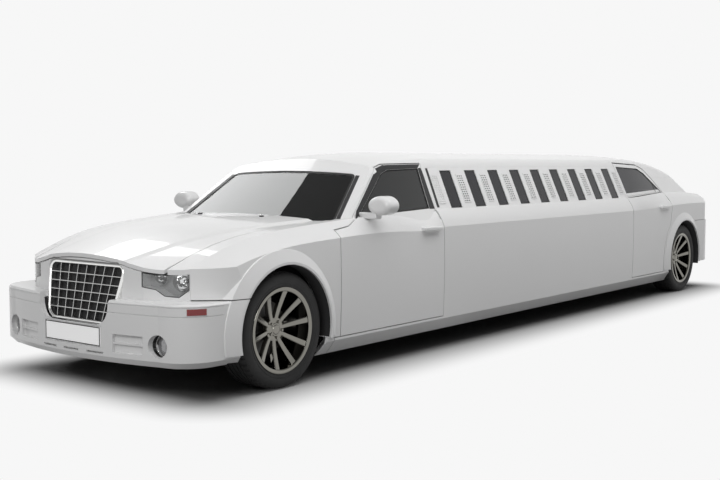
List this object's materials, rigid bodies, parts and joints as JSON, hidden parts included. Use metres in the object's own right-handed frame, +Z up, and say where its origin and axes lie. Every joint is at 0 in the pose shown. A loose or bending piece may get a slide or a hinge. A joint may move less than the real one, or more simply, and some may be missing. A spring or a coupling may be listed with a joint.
{
  "type": "stretch limousine",
  "caption": "Long four-door stretch limousine car with slit side windows, egg-crate grille and alloy wheels; doors, hood and trunk lid open, front wheels steer and all wheels roll.",
  "frame": {"origin": "on the ground under the middle of the overall box", "axes": "+X to the car's front, +Y to its left, +Z up"},
  "size_m": [8.2198, 2.132, 1.47],
  "materials": {
    "alloy": "smoked bright alloy",
    "cast": "cast metal",
    "chrome": "bright plated metal",
    "dark_glass": "very dark window glass",
    "glass": "tinted window glass",
    "lamp_dark": "dark lamp bucket",
    "leather": "dark leather",
    "lens": "clear lamp lens",
    "paint": "gloss white body paint",
    "plate": "blank white plate",
    "red_lens": "deep red lamp plastic",
    "steel": "plain steel",
    "trim": "dark soft trim",
    "tyre": "tyre rubber",
    "under": "dark underbody coating"
  },
  "bodies": {
    "body": {"roof_panel": "paint", "side_panels": "paint", "quarter_panels": "paint", "floor_pan": "under", "front_fenders": "paint", "front_bumper": "paint", "rear_bumper": "paint", "cowl_panel": "trim", "rear_deck": "paint", "grille_frame": "chrome", "grille_bars": "chrome", "headlamps": "lamp_dark", "headlamp_lenses": "lens", "fog_lamps": "chrome", "red_lamps": "red_lens", "windscreen": "glass", "rear_window": "glass", "slit_windows": "dark_glass", "louvre_panels": "paint", "number_plate": "plate", "exhaust": "steel", "front_subframe": "cast", "rear_axle": "cast", "propshaft": "steel", "engine": "cast", "dashboard": "trim", "seats": "leather", "arch_liners": "under"},
    "hood": {"hood": "paint"},
    "trunk_lid": {"trunk_lid": "paint"},
    "steering_wheel": {"steering_wheel": "trim"},
    "door_front_left": {"door_front_left": "paint", "glass_front_left": "glass", "mirror_left": "paint"},
    "door_rear_left": {"door_rear_left": "paint", "glass_rear_left": "glass"},
    "knuckle_left": {"knuckle_left": "cast"},
    "wheel_front_left": {"tyre_front_left": "tyre", "rim_front_left": "alloy", "disc_front_left": "steel"},
    "wheel_rear_left": {"tyre_rear_left": "tyre", "rim_rear_left": "alloy", "disc_rear_left": "steel"},
    "door_front_right": {"door_front_right": "paint", "glass_front_right": "glass", "mirror_right": "paint"},
    "door_rear_right": {"door_rear_right": "paint", "glass_rear_right": "glass"},
    "knuckle_right": {"knuckle_right": "cast"},
    "wheel_front_right": {"tyre_front_right": "tyre", "rim_front_right": "alloy", "disc_front_right": "steel"},
    "wheel_rear_right": {"tyre_rear_right": "tyre", "rim_rear_right": "alloy", "disc_rear_right": "steel"}
  },
  "joints": [
    {"name": "door_front_left_hinge", "type": "hinge", "parent": "body", "child": "door_front_left", "pos_m": [2.62, 0.92, 0.6], "axis": [0, 0, -1], "range_deg": [0, 65]},
    {"name": "door_rear_left_hinge", "type": "hinge", "parent": "body", "child": "door_rear_left", "pos_m": [-1.904, 0.92, 0.6], "axis": [0, 0, -1], "range_deg": [0, 65]},
    {"name": "steer_left", "type": "hinge", "parent": "body", "child": "knuckle_left", "pos_m": [3.22, 0.69, 0.362], "axis": [0, 0, 1], "range_deg": [-33, 33]},
    {"name": "wheel_front_left_spin", "type": "hinge", "parent": "knuckle_left", "child": "wheel_front_left", "pos_m": [3.22, 0.8, 0.362], "axis": [0, 1, 0], "continuous": true},
    {"name": "wheel_rear_left_spin", "type": "hinge", "parent": "body", "child": "wheel_rear_left", "pos_m": [-3.15, 0.8, 0.362], "axis": [0, 1, 0], "continuous": true},
    {"name": "door_front_right_hinge", "type": "hinge", "parent": "body", "child": "door_front_right", "pos_m": [2.62, -0.92, 0.6], "axis": [0, 0, 1], "range_deg": [0, 65]},
    {"name": "door_rear_right_hinge", "type": "hinge", "parent": "body", "child": "door_rear_right", "pos_m": [-1.904, -0.92, 0.6], "axis": [0, 0, 1], "range_deg": [0, 65]},
    {"name": "steer_right", "type": "hinge", "parent": "body", "child": "knuckle_right", "pos_m": [3.22, -0.69, 0.362], "axis": [0, 0, 1], "range_deg": [-33, 33]},
    {"name": "wheel_front_right_spin", "type": "hinge", "parent": "knuckle_right", "child": "wheel_front_right", "pos_m": [3.22, -0.8, 0.362], "axis": [0, 1, 0], "continuous": true},
    {"name": "wheel_rear_right_spin", "type": "hinge", "parent": "body", "child": "wheel_rear_right", "pos_m": [-3.15, -0.8, 0.362], "axis": [0, 1, 0], "continuous": true},
    {"name": "hood_hinge", "type": "hinge", "parent": "body", "child": "hood", "pos_m": [2.63, 0, 0.99], "axis": [0, -1, 0], "range_deg": [0, 55]},
    {"name": "trunk_lid_hinge", "type": "hinge", "parent": "body", "child": "trunk_lid", "pos_m": [-3.894, 0, 1.042], "axis": [0, 1, 0], "range_deg": [0, 75]},
    {"name": "steering_wheel_turn", "type": "hinge", "parent": "body", "child": "steering_wheel", "pos_m": [2.04, 0.4, 0.905], "axis": [-0.9135, 0, 0.4067], "range_deg": [-495, 495]}
  ],
  "couplings": [
    {"joint": "steer_right", "follows": "steer_left", "ratio": 1},
    {"joint": "steering_wheel_turn", "follows": "steer_left", "ratio": 15}
  ]
}
